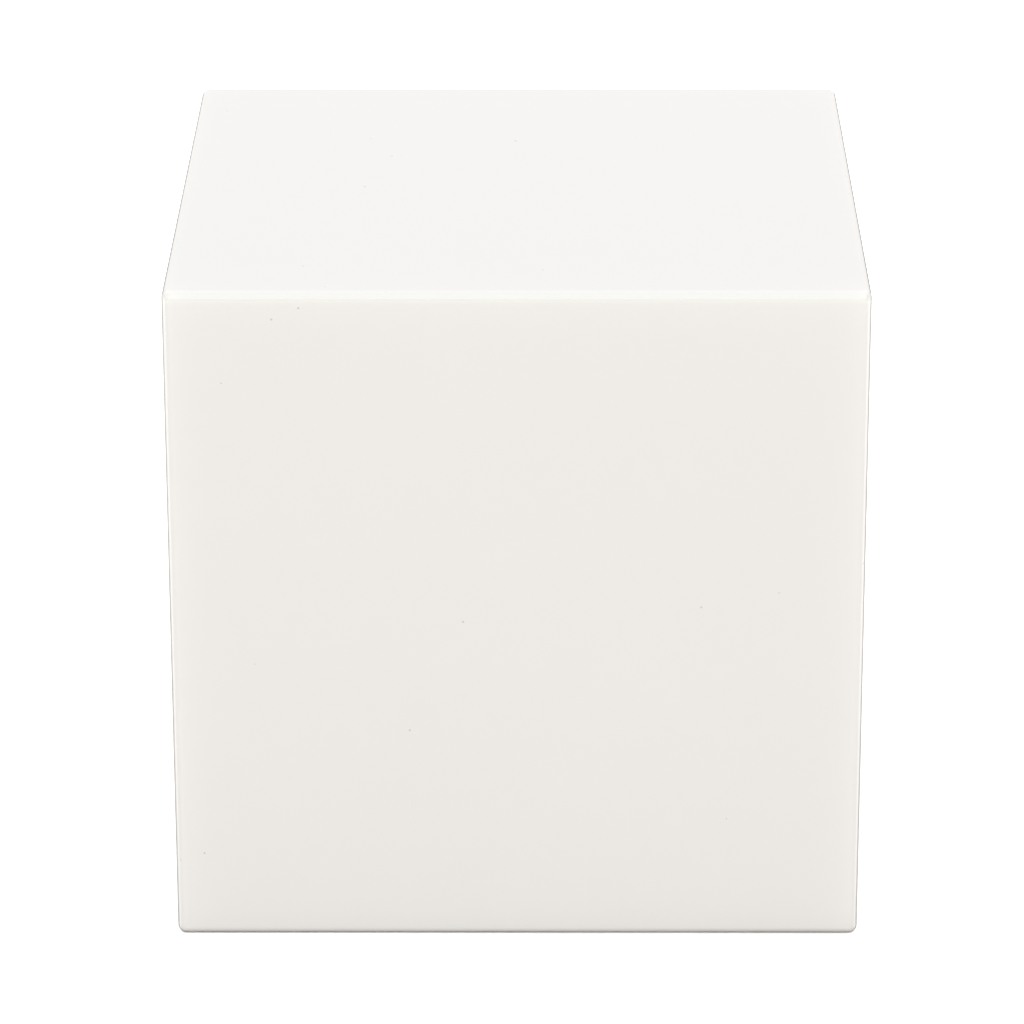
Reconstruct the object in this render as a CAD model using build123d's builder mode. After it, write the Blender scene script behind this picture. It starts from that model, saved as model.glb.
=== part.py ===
"""White acrylic display cube: a five-sided box, open underneath, that stands on its rim.

Five pieces of cast acrylic sheet meet in 45 degree mitres and are cemented along them. The cement that
squeezes out of each mitre sets as a concave bead in the inner corner. The outer edges are rounded over and
polished after the cement has set, so each panel carries half of the rounding at each of its mitres.

The frame: origin at the centre of the footprint, on the plane that the rim stands on. +Z is up, the front
panel faces -Y. Lengths are in millimetres.
"""

import os

from build123d import *

# Driving dimensions
side = 100.0  # width, depth and height of the cube
sheet = 5.0  # thickness of the acrylic sheet
edge_radius = 1.2  # round-over on every outer edge
rim_break = 0.4  # radius of the polished inner edge of the open rim
bead_radius = 2.5  # hollow face of a cement bead
bead_wetting = 0.15  # how far the hollow face would run past the wall, which sets its angle to the wall
bead_stop = 1.5  # height above the rim at which the upright beads end

# Worked out from them
half = side / 2
inner_half = half - sheet
centre = Vector(0, 0, half)

# The way each panel faces
facing = {
    "top": Vector(0, 0, 1),
    "front": Vector(0, -1, 0),
    "back": Vector(0, 1, 0),
    "left": Vector(-1, 0, 0),
    "right": Vector(1, 0, 0),
}


def mitre_planes(names):
    """The planes through the cube's centre that part what lies nearest to the named panels from the rest."""
    others = [name for name in facing if name not in names]
    return [Plane(centre, z_dir=facing[n] - facing[m]) for n in names for m in others]


# The whole box, rounded over, before it is parted along its mitres
with BuildPart() as box:
    with BuildSketch():
        Rectangle(side, side)
    extrude(amount=side)
    fillet(box.edges(), radius=edge_radius)
    with BuildSketch():
        Rectangle(2 * inner_half, 2 * inner_half)
    extrude(amount=side - sheet, mode=Mode.SUBTRACT)
    rim = box.faces().filter_by(Axis.Z).sort_by(Axis.Z)[0]
    fillet(rim.inner_wires()[0].edges(), radius=rim_break)

# The space inside the box, rounded in its corners as the beads leave it
with BuildPart() as bead_hollow:
    with BuildSketch():
        Rectangle(2 * (inner_half + bead_wetting), 2 * (inner_half + bead_wetting))
    extrude(amount=side - sheet + bead_wetting)
    uprights = bead_hollow.edges().filter_by(Axis.Z)
    under_top = bead_hollow.faces().sort_by(Axis.Z)[-1].edges()
    fillet(uprights + under_top, radius=bead_radius)

# All the cement: what that rounded space leaves of the box's square-cornered one
with BuildPart() as cement:
    with BuildSketch(Plane.XY.offset(bead_stop)):
        Rectangle(2 * inner_half, 2 * inner_half)
    extrude(amount=side - sheet - bead_stop)
    add(bead_hollow.part, mode=Mode.SUBTRACT)

pieces = []

# Five panels
for name in facing:
    with BuildPart() as panel:
        add(box.part)
        for plane in mitre_planes([name]):
            split(bisect_by=plane, keep=Keep.TOP)
    panel.part.label = f"{name}_panel"
    pieces.append(panel.part)

# Four beads in the upright corners
for depth_side in ("front", "back"):
    for width_side in ("left", "right"):
        with BuildPart() as corner_bead:
            add(cement.part)
            for plane in mitre_planes([depth_side, width_side]):
                split(bisect_by=plane, keep=Keep.TOP)
        corner_bead.part.label = f"corner_bead_{depth_side}_{width_side}"
        pieces.append(corner_bead.part)

# Four beads under the edges of the top panel
for name in ("front", "back", "left", "right"):
    with BuildPart() as top_bead:
        add(cement.part)
        for plane in mitre_planes(["top", name]):
            split(bisect_by=plane, keep=Keep.TOP)
    top_bead.part.label = f"top_bead_{name}"
    pieces.append(top_bead.part)

os.makedirs("parts", exist_ok=True)
for piece in pieces:
    export_step(piece, f"parts/{piece.label}.step")
    print(piece.label, "solids", len(piece.solids()), "volume", round(piece.volume, 1))
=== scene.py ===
"""Looks for the white acrylic display cube.

Each CAD panel and each CAD bead of cement is replaced by a finer mesh of the same size. A panel is one closed
sheet with mitred edges and polished corners, and a bead is a hollow-faced run of cement in an inner corner.
Everything is in metres, in the frame of the CAD model.
"""

import math
from types import SimpleNamespace

import bpy
from mathutils import Matrix, Vector, noise


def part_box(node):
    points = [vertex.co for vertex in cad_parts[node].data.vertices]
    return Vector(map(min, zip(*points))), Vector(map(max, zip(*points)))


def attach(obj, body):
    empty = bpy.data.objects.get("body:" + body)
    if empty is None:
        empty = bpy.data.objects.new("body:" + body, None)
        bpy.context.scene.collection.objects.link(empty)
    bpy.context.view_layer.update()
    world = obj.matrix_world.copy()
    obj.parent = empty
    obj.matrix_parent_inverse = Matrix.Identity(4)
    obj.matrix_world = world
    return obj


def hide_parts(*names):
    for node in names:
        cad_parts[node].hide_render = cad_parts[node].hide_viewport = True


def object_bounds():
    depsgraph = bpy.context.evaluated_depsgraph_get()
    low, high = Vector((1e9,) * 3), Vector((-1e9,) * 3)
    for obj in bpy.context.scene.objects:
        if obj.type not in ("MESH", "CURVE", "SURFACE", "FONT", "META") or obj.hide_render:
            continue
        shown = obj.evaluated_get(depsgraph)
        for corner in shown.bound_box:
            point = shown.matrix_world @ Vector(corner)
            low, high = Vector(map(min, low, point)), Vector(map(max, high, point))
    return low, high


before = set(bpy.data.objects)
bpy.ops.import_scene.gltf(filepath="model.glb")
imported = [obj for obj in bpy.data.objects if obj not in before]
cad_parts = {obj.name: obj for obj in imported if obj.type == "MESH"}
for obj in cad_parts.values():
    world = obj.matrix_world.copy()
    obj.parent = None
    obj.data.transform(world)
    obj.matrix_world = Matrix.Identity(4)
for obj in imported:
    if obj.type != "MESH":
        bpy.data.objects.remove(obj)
cad_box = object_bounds()

# Sizes, read from the CAD model
low, high = cad_box
side = high.z - low.z
half = side / 2
top_low, top_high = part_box("top_panel")
sheet = side - top_low.z
inner_half = half - sheet
edge_radius = (half - top_high.x) / (1 - math.cos(math.radians(45)))
bead_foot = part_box("corner_bead_front_left")[0].z

# Sizes that no box of the CAD model gives
rim_break = 0.0004
bead_radius = 0.0025
bead_wetting = 0.00015

# Turns about Z that bring the front panel round to each side
turns = {"front": 0, "right": 90, "back": 180, "left": 270}


# ---------------------------------------------------------------- meshes

class Skin:
    """Gathers points, their normals and faces, and joins points that fall on each other."""

    def __init__(self):
        self.points, self.normals, self.faces, self.flat = [], [], [], []
        self.known = {}

    def point(self, place, normal):
        key = tuple(round(value * 1e8) for value in place)
        if key not in self.known:
            self.known[key] = len(self.points)
            self.points.append(Vector(place))
            self.normals.append(Vector(normal).normalized())
        return self.known[key]

    def face(self, corners, flat=False):
        ring = [c for i, c in enumerate(corners) if c != corners[i - 1]]
        if len(set(ring)) >= 3:
            self.faces.append(ring)
            self.flat.append(flat)

    def grid(self, rows, flat=False):
        """Faces between rows of points, each row seen from outside as running to the right of the last."""
        for above, below in zip(rows, rows[1:]):
            for i in range(len(above) - 1):
                self.face([above[i], below[i], below[i + 1], above[i + 1]], flat)

    def build(self, name, turn=0.0):
        """The object. A flat face keeps its own normal, and every other takes the normals of its points."""
        mesh = bpy.data.meshes.new(name)
        mesh.from_pydata(self.points, [], self.faces)
        mesh.update()
        loops = [
            mesh.polygons[f].normal if self.flat[f] else self.normals[corner]
            for f, ring in enumerate(self.faces)
            for corner in ring
        ]
        mesh.normals_split_custom_set([tuple(n) for n in loops])
        mesh.transform(Matrix.Rotation(math.radians(turn), 4, "Z"))
        piece = bpy.data.objects.new(name, mesh)
        bpy.context.scene.collection.objects.link(piece)
        return piece


def steps(start, end, count):
    """Evenly spaced values from start to end, both included."""
    return [start + (end - start) * i / count for i in range(count + 1)]


# How finely the panels are divided: half of a rounding, a face, and the rim with its broken inner edge
arc_steps = 8
face_steps = 24
rim_flat_steps = 4
rim_break_steps = 6
round_angles = steps(0, math.radians(45), arc_steps)


def across():
    """The columns of a face, as (place along the flat from -1 to 1, turn into the rounding, which side)."""
    left = [(-1.0, angle, -1) for angle in reversed(round_angles[1:])]
    flat = [(t, 0.0, 0) for t in steps(-1, 1, face_steps)]
    right = [(1.0, angle, 1) for angle in round_angles[1:]]
    return left + flat + right


def rounded(along_u, along_v, lean_u, lean_v):
    """A point and normal of the box's outer skin on a face that looks along +W, in (U, V, W)."""
    core = half - edge_radius
    normal = Vector((math.tan(lean_u), math.tan(lean_v), 1)).normalized()
    return Vector((along_u * core, along_v * core, core)) + edge_radius * normal, normal


def side_panel():
    """The front panel, from its upper mitre down the outside, round the rim and up the inside."""
    skin = Skin()
    core = half - edge_radius
    rows = []
    for lean in reversed(round_angles):  # upper rounding
        row = []
        for t, turn, way in across():
            place, normal = rounded(t, 1, way * turn, lean)
            row.append(skin.point((place.x, -place.z, half + place.y), (normal.x, -normal.z, normal.y)))
        rows.append(row)
    for z in steps(side - edge_radius, edge_radius, face_steps)[1:-1]:  # outer face
        row = []
        for t, turn, way in across():
            place, normal = rounded(t, 0, way * turn, 0)
            row.append(skin.point((place.x, -place.z, z), (normal.x, -normal.z, 0)))
        rows.append(row)
    for drop in steps(0, math.radians(90), 2 * arc_steps):  # lower rounding
        row = []
        for t, turn, way in across():
            normal = Vector((
                way * math.sin(turn) * math.cos(drop),
                -math.cos(turn) * math.cos(drop),
                -math.sin(drop),
            ))
            place = Vector((t * core, -core, edge_radius)) + edge_radius * normal
            row.append(skin.point(place, normal))
        rows.append(row)

    # The inner path, as (distance from the axis, height, how far inward and how far up the normal points)
    inner_path = [(a, 0, 0, -1) for a in steps(core, inner_half + rim_break, rim_flat_steps)[1:-1]]
    for turn in steps(0, math.radians(90), rim_break_steps):  # broken inner edge of the rim
        inner_path.append((
            inner_half + rim_break * (1 - math.sin(turn)),
            rim_break * (1 - math.cos(turn)),
            math.sin(turn),
            -math.cos(turn),
        ))
    for z in steps(rim_break, side - sheet, face_steps)[1:]:  # inner face
        inner_path.append((inner_half, z, 1, 0))
    for a, z, inward, up in inner_path:
        rows.append([skin.point((t * a, -a, z), (0, inward, up)) for t, turn, way in across()])

    skin.grid(rows)
    skin.grid([rows[-1], rows[0]], flat=True)
    skin.face([row[0] for row in rows][::-1], flat=True)
    skin.face([row[-1] for row in rows], flat=True)
    return skin


def top_panel():
    """The top panel, its outer skin, its inner face and the four mitres between them."""
    skin = Skin()
    outer, inner = [], []
    for t_v, turn_v, way_v in reversed(across()):
        outer_row, inner_row = [], []
        for t_u, turn_u, way_u in across():
            place, normal = rounded(t_u, t_v, way_u * turn_u, way_v * turn_v)
            outer_row.append(skin.point((place.x, place.y, half + place.z), normal))
            inner_row.append(skin.point((t_u * inner_half, t_v * inner_half, side - sheet), (0, 0, -1)))
        outer.append(outer_row)
        inner.append(inner_row)
    skin.grid(outer)
    skin.grid(inner[::-1])
    skin.grid([inner[0], outer[0]], flat=True)
    skin.grid([outer[-1], inner[-1]], flat=True)
    skin.grid([[row[0] for row in inner][::-1], [row[0] for row in outer][::-1]], flat=True)
    skin.grid([[row[-1] for row in inner], [row[-1] for row in outer]], flat=True)
    return skin


# How far the middle of a bead's hollow curve is from each wall, and that as a share of the radius
bead_middle = bead_radius - bead_wetting
bead_touch = bead_middle / bead_radius

# The domed foot of an upright bead, and how finely the beads are divided
bead_dome = 0.0016
bead_columns = 8
bead_step = 0.0012
dome_steps = 6
end_steps = 4

# How unevenly a bead has set: by this share of its size, and by less within this length of its ends. Its
# waves are (waves to the metre, how far apart the beads' patterns are, a shift, share).
uneven_size = 0.16
uneven_from = 0.004
uneven_waves = [(130, 7.3, 0, 1.0), (420, 3.1, 5, 0.5)]


def hollow_way(share, towards_corner):
    """The way from the middle of a bead's hollow curve to a point of it. The share runs from one wall to the
    other, and towards_corner from 0, on the straight run, to 1, on the mitre in the corner of three walls."""
    start = math.acos(bead_touch)
    angle = start + share * (math.radians(90) - 2 * start)
    run = Vector((math.cos(angle), math.sin(angle), 0))
    nearest = bead_touch + (1 / math.sqrt(3) - bead_touch) * (1 - abs(1 - 2 * share))
    other = math.sqrt((1 - nearest ** 2) / 2)
    end = Vector((nearest, other, other)) if share <= 0.5 else Vector((other, nearest, other))
    return run.lerp(end, towards_corner).normalized()


def bead(place, length, seed, domed):
    """A bead of cement. Its points are (p, q, w): how far from each of two walls, and how far along. It
    starts in a dome or in a corner of three walls, ends in such a corner, and is a little uneven between."""
    skin = Skin()
    shares = steps(0, 1, bead_columns)
    centre = Vector((bead_middle, bead_middle, 0))

    def ring(w, corner_w, size, ways, normals):
        points = [skin.point(place(Vector((0, 0, corner_w))), place(Vector((-1, -1, 0)), True))]
        for way, normal in zip(ways, normals):
            across_walls = (centre - bead_radius * Vector((way.x, way.y, 0))) * size
            point = Vector((across_walls.x, across_walls.y, w(way)))
            points.append(skin.point(place(point), place(normal, True)))
        return points + points[:1]

    rows = []
    run_ways = [hollow_way(share, 0) for share in shares]
    if domed:
        for turn in steps(0, math.radians(90), dome_steps)[:-1]:
            w = bead_dome * (1 - math.cos(turn))
            normals = [way * math.sin(turn) - Vector((0, 0, math.cos(turn))) for way in run_ways]
            rows.append(ring(lambda way, w=w: w, w, math.sin(turn), run_ways, normals))
        run_start = bead_dome
    else:
        for towards_corner in reversed(steps(0, 1, end_steps)[1:]):
            ways = [hollow_way(share, towards_corner) for share in shares]
            rows.append(ring(
                lambda way: bead_middle - bead_radius * way.z,
                bead_middle * (1 - towards_corner),
                1,
                ways,
                ways,
            ))
        run_start = bead_middle
    run_end = length - bead_middle
    for w in steps(run_start, run_end, round((run_end - run_start) / bead_step)):
        taper = min(1, (w - run_start) / uneven_from, (run_end - w) / uneven_from)
        wave = sum(
            share * noise.noise(Vector((w * waves, seed * apart, shift)))
            for waves, apart, shift, share in uneven_waves
        )
        rows.append(ring(lambda way, w=w: w, w, 1 + uneven_size * taper * wave, run_ways, run_ways))
    for towards_corner in steps(0, 1, end_steps)[1:]:
        ways = [hollow_way(share, towards_corner) for share in shares]
        rows.append(ring(
            lambda way: length - bead_middle + bead_radius * way.z,
            length - bead_middle * (1 - towards_corner),
            1,
            ways,
            [Vector((way.x, way.y, -way.z)) for way in ways],
        ))

    skin.grid([row[:2] for row in rows], flat=True)
    skin.grid([row[1:-1] for row in rows])
    skin.grid([row[-2:] for row in rows], flat=True)
    half_way = bead_columns // 2 + 1
    for row, way in ((rows[0], 1), (rows[-1], -1)):
        skin.face(([row[0]] + row[1:half_way + 1])[::way], flat=True)
        skin.face(([row[0]] + row[half_way:-1])[::way], flat=True)
    return skin


def upright_bead(seed):
    """The bead in the front left corner."""
    def place(point, is_way=False):
        return point if is_way else Vector((point.x - inner_half, point.y - inner_half, point.z + bead_foot))
    return bead(place, side - sheet - bead_foot, seed, domed=True)


def top_bead(seed):
    """The bead between the front panel and the top."""
    def place(point, is_way=False):
        turned = Vector((-point.z, point.x, -point.y))
        return turned if is_way else turned + Vector((inner_half, -inner_half, side - sheet))
    return bead(place, 2 * inner_half, seed, domed=False)


# ---------------------------------------------------------------- materials

acrylic_ior = 1.49
acrylic_tones = ((0.866, 0.868, 0.860, 1), (0.874, 0.864, 0.852, 1))
coat_roughness = 0.04

# Painted light near an edge, standing in for light that leaks through the acrylic there, as (how far in it
# reaches, how much brighter it is at the edge).
# Along a top edge the top has only a share of it, and the side has the whole from a little way down.
painted_upright_leak = (0.0025, 0.075)
painted_top_leak = (0.003, 0.055)
painted_top_leak_share = 0.4
painted_top_leak_whole = 0.0009

# Painted highlight and shade in bands along a top edge, as (how far below the mitre, width, how much
# brighter), and a greener one
top_edge_painted_bands = [
    (0.00135, 0.0003, 0.05),
    (0.0009, 0.00033, -0.08),
    (0.0003, 0.0005, -0.09),
    (-0.00095, 0.0004, 0.02),
]
green_band = (0.0009, 0.0006)
green_tone = (0.861, 0.877, 0.850, 1)

# The mitre of an upright edge, as (width, where it starts to fade, where it is gone, how much brighter). It
# is a painted glint in the rounding, measured from the edge, and a dark line under the rim, measured upward.
painted_mitre_glint = (0.0003, 0.0009, 0.0013, 0.06)
mitre_line = (0.00007, 0.0002, 0.0006, -0.10)

# Layers of noise, as (blotches to the metre, detail, roughness, strength)
clouding = [
    (24, 1.0, 0.5, 0.012),
    (130, 2.0, 0.5, 0.006),
    (1600, 2.0, 0.8, 0.012),
]
warmth = (45, 2.0, 0.5, 1.0)
wiping = (70, 3.0, 0.6, 0.06)
sheet_waves = (120, 1.0, 0.5, 1.2e-5)

# Dust specks and faint smudges, as (spacing, radius, rarity, shift of the pattern), and how much brighter
dust = (0.0038, 0.00024, 0.83, (0.3, 0.1, 0.2))
dust_tone = -0.26
smudges = (0.017, 0.0007, 0.7, (0.15, 0.9, 0.35))
smudge_tone = -0.05

# The smallest and the largest speck, and the part before it fades, as shares of the radius
speck_smallest = 0.7
speck_largest = 1.3
speck_core = 0.6

# Roughness: from the polished edge to the face, as (where it starts to rise, where it has risen, edge, face),
# and the haze inside, which is stronger near the inner corners
polish = (0.001, 0.002, 0.05, 0.12)
inner_haze = 0.06
corner_haze = 0.25
corner_haze_reach = 0.003

# Hairline scratches: how much the noise is squeezed along X, Y and Z, its layer, its levels and their depth
hairline_squeeze = (1.0, 9.0, 14.0)
hairlines = (110, 4.0, 0.75, 1.0)
hairline_levels = (0.16, 0.24)
hairline_depth = -6e-7

cement_ior = 1.47
cement_tones = ((0.80, 0.795, 0.765, 1), (0.86, 0.85, 0.825, 1))
cement_cloud = (260, 3.0, 0.5, 1.0)
cement_roughness = 0.04
cement_roughness_range = 0.12
cement_ripple = (500, 2.0, 0.5, 4e-5)
bubbles = (0.0011, 0.00016, 0.55, (0.2, 0.5, 0.8))
bubble_tone = (0.93, 0.93, 0.92, 1)
bubble_height = 2e-5


def feed(tree, socket, value):
    """Links a node's input to the socket that the value comes from, or sets it to a plain value."""
    if isinstance(value, bpy.types.NodeSocket):
        tree.links.new(value, socket)
    else:
        socket.default_value = value


def add_node(tree, kind, **inputs):
    """A node with some of its inputs fed. Spaces in their names are underscores, and _2 is input number 2."""
    made = tree.nodes.new(kind)
    for name, value in inputs.items():
        key = int(name[1:]) if name[1:].isdigit() else name.replace("_", " ")
        feed(tree, made.inputs[key], value)
    return made


def new_material(name):
    material = bpy.data.materials.new(name)
    material.use_nodes = True
    tree = material.node_tree
    return material, tree, tree.nodes["Principled BSDF"]


def maths(tree, operation, *values):
    made = tree.nodes.new("ShaderNodeMath")
    made.operation = operation
    for socket, value in zip(made.inputs, values):
        feed(tree, socket, value)
    return made.outputs[0]


def vector_maths(tree, operation, first, second):
    """Vector maths on two vectors, or on a vector and the number that scales it."""
    made = tree.nodes.new("ShaderNodeVectorMath")
    made.operation = operation
    feed(tree, made.inputs[0], first)
    feed(tree, made.inputs["Scale"] if operation == "SCALE" else made.inputs[1], second)
    return made.outputs["Value"] if operation == "DOT_PRODUCT" else made.outputs["Vector"]


def smooth(tree, value, start, end, low=0.0, high=1.0):
    """Low up to start and high from end on, with a smooth step between."""
    ends = {"From_Min": start, "From_Max": end, "To_Min": low, "To_Max": high}
    made = add_node(tree, "ShaderNodeMapRange", Value=value, **ends)
    made.interpolation_type = "SMOOTHSTEP"
    return made.outputs["Result"]


def blend_colours(tree, factor, first, second):
    made = tree.nodes.new("ShaderNodeMix")
    made.data_type = "RGBA"
    for number, value in ((0, factor), (6, first), (7, second)):
        feed(tree, made.inputs[number], value)
    return made.outputs[2]


def times(tree, first, second):
    return maths(tree, "MULTIPLY", first, second)


def add_up(tree, parts):
    total = parts[0]
    for part in parts[1:]:
        total = maths(tree, "ADD", total, part)
    return total


def fade(tree, distance, length, power=1):
    """One at no distance, and falling away over the length on both sides."""
    share = maths(tree, "POWER", maths(tree, "DIVIDE", maths(tree, "ABSOLUTE", distance), length), power)
    return maths(tree, "EXPONENT", times(tree, share, -1.0))


def band(tree, distance, middle, width):
    """One in the middle of a band, and falling away on both sides of it."""
    return fade(tree, maths(tree, "SUBTRACT", distance, middle), width, 2)


def noise_layer(tree, place, layer):
    """Noise about zero, from about minus half the layer's strength to half of it."""
    scale, detail, roughness, strength = layer
    made = add_node(tree, "ShaderNodeTexNoise", Vector=place, Scale=scale, Detail=detail, Roughness=roughness)
    return times(tree, maths(tree, "SUBTRACT", made.outputs["Fac"], 0.5), strength)


def specks(tree, place, spacing, radius, rarity, shift):
    """One in each round speck and zero elsewhere. Only cells whose random colour is above the rarity hold a
    speck."""
    moved = vector_maths(tree, "ADD", place, shift)
    cells = add_node(tree, "ShaderNodeTexVoronoi", Vector=moved, Scale=1 / spacing)
    colour = add_node(tree, "ShaderNodeSeparateColor", Color=cells.outputs["Color"])
    chosen = maths(tree, "GREATER_THAN", colour.outputs["Red"], rarity)
    size_range = speck_largest - speck_smallest
    size = maths(tree, "ADD", times(tree, colour.outputs["Green"], size_range), speck_smallest)
    distance = maths(tree, "DIVIDE", cells.outputs["Distance"], size)
    inside = smooth(tree, distance, radius * speck_core / spacing, radius / spacing, 1.0, 0.0)
    return times(tree, inside, chosen)


def bump(tree, shader, height):
    """Bumps from a height in metres."""
    made = add_node(tree, "ShaderNodeBump", Strength=1.0, Distance=1.0, Height=height)
    tree.links.new(made.outputs["Normal"], shader.inputs["Normal"])


def where_on_cube(tree):
    """The place of a point of the cube, and the distances that the looks of the acrylic depend on. Those from
    a mitre are below zero on one side of it, which for below_mitre is the side of the top panel."""
    place = add_node(tree, "ShaderNodeTexCoord").outputs["Object"]
    split = add_node(tree, "ShaderNodeSeparateXYZ", Vector=place)
    x = maths(tree, "ABSOLUTE", split.outputs["X"])
    y = maths(tree, "ABSOLUTE", split.outputs["Y"])
    z = maths(tree, "SUBTRACT", split.outputs["Z"], half)
    outward = maths(tree, "MAXIMUM", x, y)
    upright_edge = maths(tree, "SUBTRACT", half, maths(tree, "MINIMUM", x, y))
    top_edge = maths(tree, "SUBTRACT", half, maths(tree, "MINIMUM", outward, z))
    return SimpleNamespace(
        place=place,
        height=split.outputs["Z"],
        upright_mitre=maths(tree, "SUBTRACT", x, y),
        below_mitre=maths(tree, "SUBTRACT", outward, z),
        upright_edge=upright_edge,
        top_edge=top_edge,
        edge=maths(tree, "MINIMUM", upright_edge, top_edge),
        depth=maths(tree, "SUBTRACT", half, maths(tree, "MAXIMUM", outward, z)),
    )


def acrylic_brightness(tree, at):
    """About one, with painted light near the edges where light would leak through, a painted glint and a dark
    line at the mitres, painted highlight and shade in bands along a top edge, the clouding, dust and smudges."""
    # Painted light near the edges, standing in for light that leaks through the acrylic
    painted_leak_share = smooth(tree, at.below_mitre, 0.0, painted_top_leak_whole, painted_top_leak_share, 1.0)
    reach, brighter = painted_upright_leak
    parts = [times(tree, fade(tree, at.upright_edge, reach), brighter)]
    reach, brighter = painted_top_leak
    parts.append(times(tree, fade(tree, at.top_edge, reach), times(tree, painted_leak_share, brighter)))
    # A painted glint in the rounding of an upright edge, and a dark line of the mitre under the rim
    for distance, (width, fades_from, gone_from, brighter) in (
        (at.upright_edge, painted_mitre_glint),
        (at.height, mitre_line),
    ):
        fading = smooth(tree, distance, fades_from, gone_from, brighter, 0.0)
        parts.append(times(tree, fade(tree, at.upright_mitre, width, 2), fading))
    # Painted highlight and shade in bands along a top edge
    for middle, width, brighter in top_edge_painted_bands:
        parts.append(times(tree, band(tree, at.below_mitre, middle, width), brighter))
    for layer in clouding:
        parts.append(noise_layer(tree, at.place, layer))
    parts.append(times(tree, specks(tree, at.place, *dust), dust_tone))
    parts.append(times(tree, specks(tree, at.place, *smudges), smudge_tone))
    parts.append(1.0)
    return add_up(tree, parts)


def acrylic_colour(tree, at):
    """The body's colour, a little uneven, and greener in the upper rounding of a side."""
    warm = maths(tree, "ADD", noise_layer(tree, at.place, warmth), 0.5)
    body = blend_colours(tree, warm, *acrylic_tones)
    body = blend_colours(tree, band(tree, at.below_mitre, *green_band), body, green_tone)
    return vector_maths(tree, "SCALE", body, acrylic_brightness(tree, at))


def acrylic_roughness(tree, at):
    """Edges smoother than faces, solvent haze inside and in the inner corners, and faint haze from wiping."""
    inside = maths(tree, "GREATER_THAN", at.depth, sheet * 0.98)  # the inner faces lie a whole sheet deep
    inner_corner = fade(tree, maths(tree, "SUBTRACT", at.edge, sheet), corner_haze_reach)
    haze = maths(tree, "ADD", times(tree, inner_corner, corner_haze), inner_haze)
    return add_up(tree, [
        smooth(tree, at.edge, *polish),
        times(tree, inside, haze),
        noise_layer(tree, at.place, wiping),
    ])


def acrylic_height(tree, at):
    """The slow waviness of cast sheet, and faint hairline scratches."""
    squeezed = vector_maths(tree, "MULTIPLY", at.place, hairline_squeeze)
    scratches = smooth(tree, noise_layer(tree, squeezed, hairlines), *hairline_levels)
    waves = noise_layer(tree, at.place, sheet_waves)
    return maths(tree, "ADD", waves, times(tree, scratches, hairline_depth))


def white_acrylic():
    """Opal cast acrylic: glossy, with painted light near the edges where light would leak through, a painted
    glint and painted highlight and shade along the edges, and faint clouding and dust. The edges are flame
    polished and smoother than the faces, and the inner corners are hazed by solvent."""
    material, tree, shader = new_material("white_acrylic")
    shader.inputs["IOR"].default_value = acrylic_ior
    shader.inputs["Coat Weight"].default_value = 1.0
    shader.inputs["Coat IOR"].default_value = acrylic_ior
    shader.inputs["Coat Roughness"].default_value = coat_roughness
    at = where_on_cube(tree)
    tree.links.new(acrylic_colour(tree, at), shader.inputs["Base Color"])
    tree.links.new(acrylic_roughness(tree, at), shader.inputs["Roughness"])
    bump(tree, shader, acrylic_height(tree, at))
    return material


def clear_cement():
    """Set acrylic cement, clear and glossy over the white sheet behind it, with small bubbles."""
    material, tree, shader = new_material("clear_cement")
    shader.inputs["IOR"].default_value = cement_ior
    place = add_node(tree, "ShaderNodeTexCoord").outputs["Object"]
    cloud = maths(tree, "ADD", noise_layer(tree, place, cement_cloud), 0.5)
    body = blend_colours(tree, cloud, *cement_tones)
    bubble = specks(tree, place, *bubbles)
    colour = blend_colours(tree, bubble, body, bubble_tone)
    tree.links.new(colour, shader.inputs["Base Color"])
    roughness = maths(tree, "ADD", times(tree, cloud, cement_roughness_range), cement_roughness)
    tree.links.new(roughness, shader.inputs["Roughness"])
    ripple = noise_layer(tree, place, cement_ripple)
    bump(tree, shader, maths(tree, "ADD", ripple, times(tree, bubble, bubble_height)))
    return material


# ---------------------------------------------------------------- the object

acrylic = white_acrylic()
cement = clear_cement()


def finish_piece(piece, node, material):
    piece.data.materials.append(material)
    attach(piece, "root")
    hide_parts(node)


upright_corners = {"front": "front_left", "right": "front_right", "back": "back_right", "left": "back_left"}
for seed, (way, turn) in enumerate(turns.items()):
    corner = upright_corners[way]
    finish_piece(side_panel().build(f"{way}_panel_sheet", turn), f"{way}_panel", acrylic)
    upright = upright_bead(seed).build(f"corner_bead_{corner}_cement", turn)
    finish_piece(upright, f"corner_bead_{corner}", cement)
    under_top = top_bead(seed + 4).build(f"top_bead_{way}_cement", turn)
    finish_piece(under_top, f"top_bead_{way}", cement)
finish_piece(top_panel().build("top_panel_sheet"), "top_panel", acrylic)


# ---------------------------------------------------------------- floor, light and camera

# The floor: how far it reaches each way, how far it is below the rim, and its colours: painted shade under
# the cube, lighter painted shade close to it and the plain colour far off, with where they blend, measured
# outward from the cube.
# The camera sees the last colour.
floor_reach = 6.0
floor_drop = 1e-5
floor_painted_shade_under = (0.42, 0.41, 0.40, 1)
floor_painted_shade_near = (0.765, 0.73, 0.68, 1)
floor_far = (0.86, 0.826, 0.772, 1)
painted_shade_under_blend = (-0.0005, 0.003)
painted_shade_fade_blend = (side * 0.1, side * 1.5)
floor_seen = (1.7, 1.7, 1.7, 1)

# The light of the world: its strength, how that changes along X, Y and Z, how much it loses towards each
# side, and its colours at the horizon and overhead
world_base = 1.445
world_lean = (0, -0.30, -0.40)
world_sides = 0.85
world_horizon = (1.0, 0.972, 0.94, 1)
world_overhead = (0.99, 1.0, 1.015, 1)

# What reflections see below the horizon: a share of that light, and a card on each side. Where each blends is
# how far up, or how far sideways, a way of length one goes.
below_mirrored = 0.04
below_blend = (-0.32, 0.02)
card_strength = 1.6
card_side_blend = (0.86, 0.905)
card_top_blend = (-0.15, -0.05)

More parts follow.
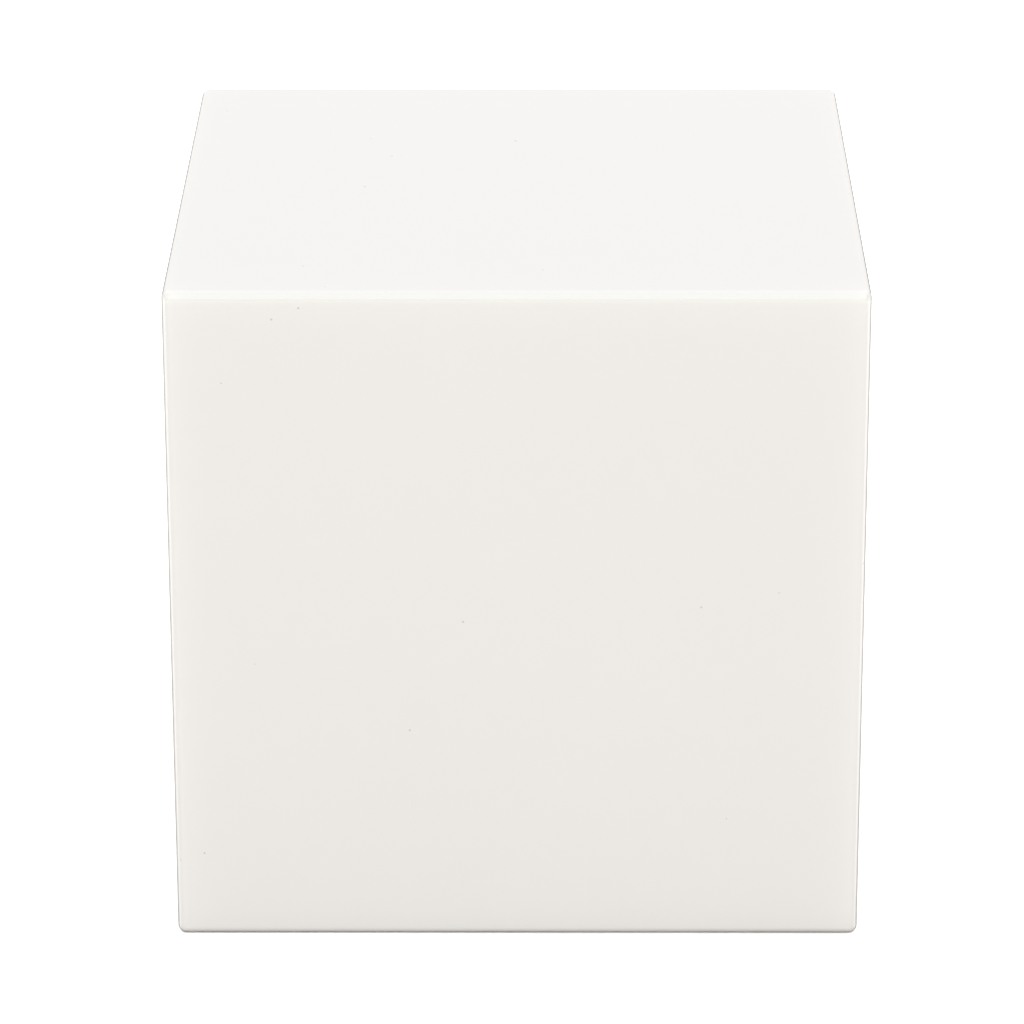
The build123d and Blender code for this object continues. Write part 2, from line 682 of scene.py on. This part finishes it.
# The camera: its lens in millimetres, its place in sides of the cube from the middle of its footprint, and
# how far it is turned to the left, down and over, in degrees
camera_lens = 185.1
camera_place = (0.0305, -7.5035, 3.394)
camera_left = 0.305
camera_down = 21.265
camera_over = -0.105


def make_floor():
    """A pale floor. It is overexposed to the camera, and throws a softer and warmer light than that onto the
    cube, with painted shade under the cube and close to it. Reflections pass through it to the world."""
    mesh = bpy.data.meshes.new("floor")
    ways = [(-1, -1), (1, -1), (1, 1), (-1, 1)]
    corners = [(floor_reach * way_x, floor_reach * way_y, -floor_drop) for way_x, way_y in ways]
    mesh.from_pydata(corners, [], [(0, 1, 2, 3)])
    floor = bpy.data.objects.new("floor", mesh)
    bpy.context.scene.collection.objects.link(floor)
    floor.visible_glossy = False
    material, tree, shader = new_material("floor_paper")
    shader.inputs["Roughness"].default_value = 0.9
    shader.inputs["Specular IOR Level"].default_value = 0.0
    place = add_node(tree, "ShaderNodeTexCoord").outputs["Object"]
    split = add_node(tree, "ShaderNodeSeparateXYZ", Vector=place)
    x = maths(tree, "ABSOLUTE", split.outputs["X"])
    y = maths(tree, "ABSOLUTE", split.outputs["Y"])
    outside = maths(tree, "SUBTRACT", maths(tree, "MAXIMUM", x, y), half)
    # Painted shade under the cube and close to it, which the camera does not see
    painted_shade_close = blend_colours(tree, smooth(tree, outside, *painted_shade_under_blend), floor_painted_shade_under, floor_painted_shade_near)
    bounce = blend_colours(tree, smooth(tree, outside, *painted_shade_fade_blend), painted_shade_close, floor_far)
    path = add_node(tree, "ShaderNodeLightPath")
    colour = blend_colours(tree, path.outputs["Is Camera Ray"], bounce, floor_seen)
    tree.links.new(colour, shader.inputs["Base Color"])
    mesh.materials.append(material)


def make_world():
    """A white studio all round, brightest in front of the cube and low down, and dimmer on each side. The
    camera sees plain white. Reflections see it dark below the horizon, with a card on each side."""
    world = bpy.data.worlds.new("studio")
    bpy.context.scene.world = world
    world.use_nodes = True
    tree = world.node_tree
    tree.nodes.clear()
    way = add_node(tree, "ShaderNodeTexCoord").outputs["Generated"]
    lean = vector_maths(tree, "DOT_PRODUCT", way, world_lean)
    split = add_node(tree, "ShaderNodeSeparateXYZ", Vector=way)
    height = split.outputs["Z"]
    sides = times(tree, times(tree, split.outputs["X"], split.outputs["X"]), world_sides)
    tint = blend_colours(tree, height, world_horizon, world_overhead)
    strength = maths(tree, "SUBTRACT", maths(tree, "ADD", lean, world_base), sides)
    mirrored = times(tree, strength, smooth(tree, height, *below_blend, below_mirrored, 1.0))
    sideways = smooth(tree, maths(tree, "ABSOLUTE", split.outputs["X"]), *card_side_blend)
    card = times(tree, sideways, smooth(tree, height, *card_top_blend, card_strength, 0.0))
    path = add_node(tree, "ShaderNodeLightPath")
    strength = add_node(
        tree,
        "ShaderNodeMix",
        _0=path.outputs["Is Glossy Ray"],
        _2=strength,
        _3=maths(tree, "ADD", mirrored, card),
    ).outputs[0]
    light = add_node(tree, "ShaderNodeBackground", Color=tint, Strength=strength)
    seen = add_node(tree, "ShaderNodeBackground", Color=(1, 1, 1, 1), Strength=1.0)
    mix = add_node(tree, "ShaderNodeMixShader", _0=path.outputs["Is Camera Ray"])
    tree.links.new(light.outputs[0], mix.inputs[1])
    tree.links.new(seen.outputs[0], mix.inputs[2])
    out = add_node(tree, "ShaderNodeOutputWorld")
    tree.links.new(mix.outputs[0], out.inputs["Surface"])


def make_softbox(name, place, width, height, radiance):
    """A softbox that faces the cube, with its brightness given as the radiance of its face."""
    data = bpy.data.lights.new(name, "AREA")
    data.shape = "RECTANGLE"
    data.size, data.size_y = width, height
    data.energy = radiance * width * height * math.pi
    data.normalize = True
    lamp = bpy.data.objects.new(name, data)
    aim = Vector((0, 0, half)) - Vector(place)
    lamp.rotation_euler = aim.to_track_quat("-Z", "Y").to_euler()
    lamp.location = place
    lamp.visible_camera = False
    bpy.context.scene.collection.objects.link(lamp)


def make_camera():
    """The camera, which looks along +Y before it is turned."""
    data = bpy.data.cameras.new("camera")
    data.lens = camera_lens
    data.sensor_width = 36
    data.clip_start, data.clip_end = 0.01, 50
    camera = bpy.data.objects.new("camera", data)
    camera.matrix_world = (
        Matrix.Translation(Vector(camera_place) * side)
        @ Matrix.Rotation(math.radians(camera_left), 4, "Z")
        @ Matrix.Rotation(math.radians(90 - camera_down), 4, "X")
        @ Matrix.Rotation(math.radians(camera_over), 4, "Z")
    )
    bpy.context.scene.collection.objects.link(camera)
    bpy.context.scene.camera = camera


make_floor()
make_world()
make_softbox("key_softbox", place=(0, -0.42, 0.6), width=0.7, height=0.6, radiance=0.15)
make_camera()
bpy.context.scene.view_settings.view_transform = "Standard"
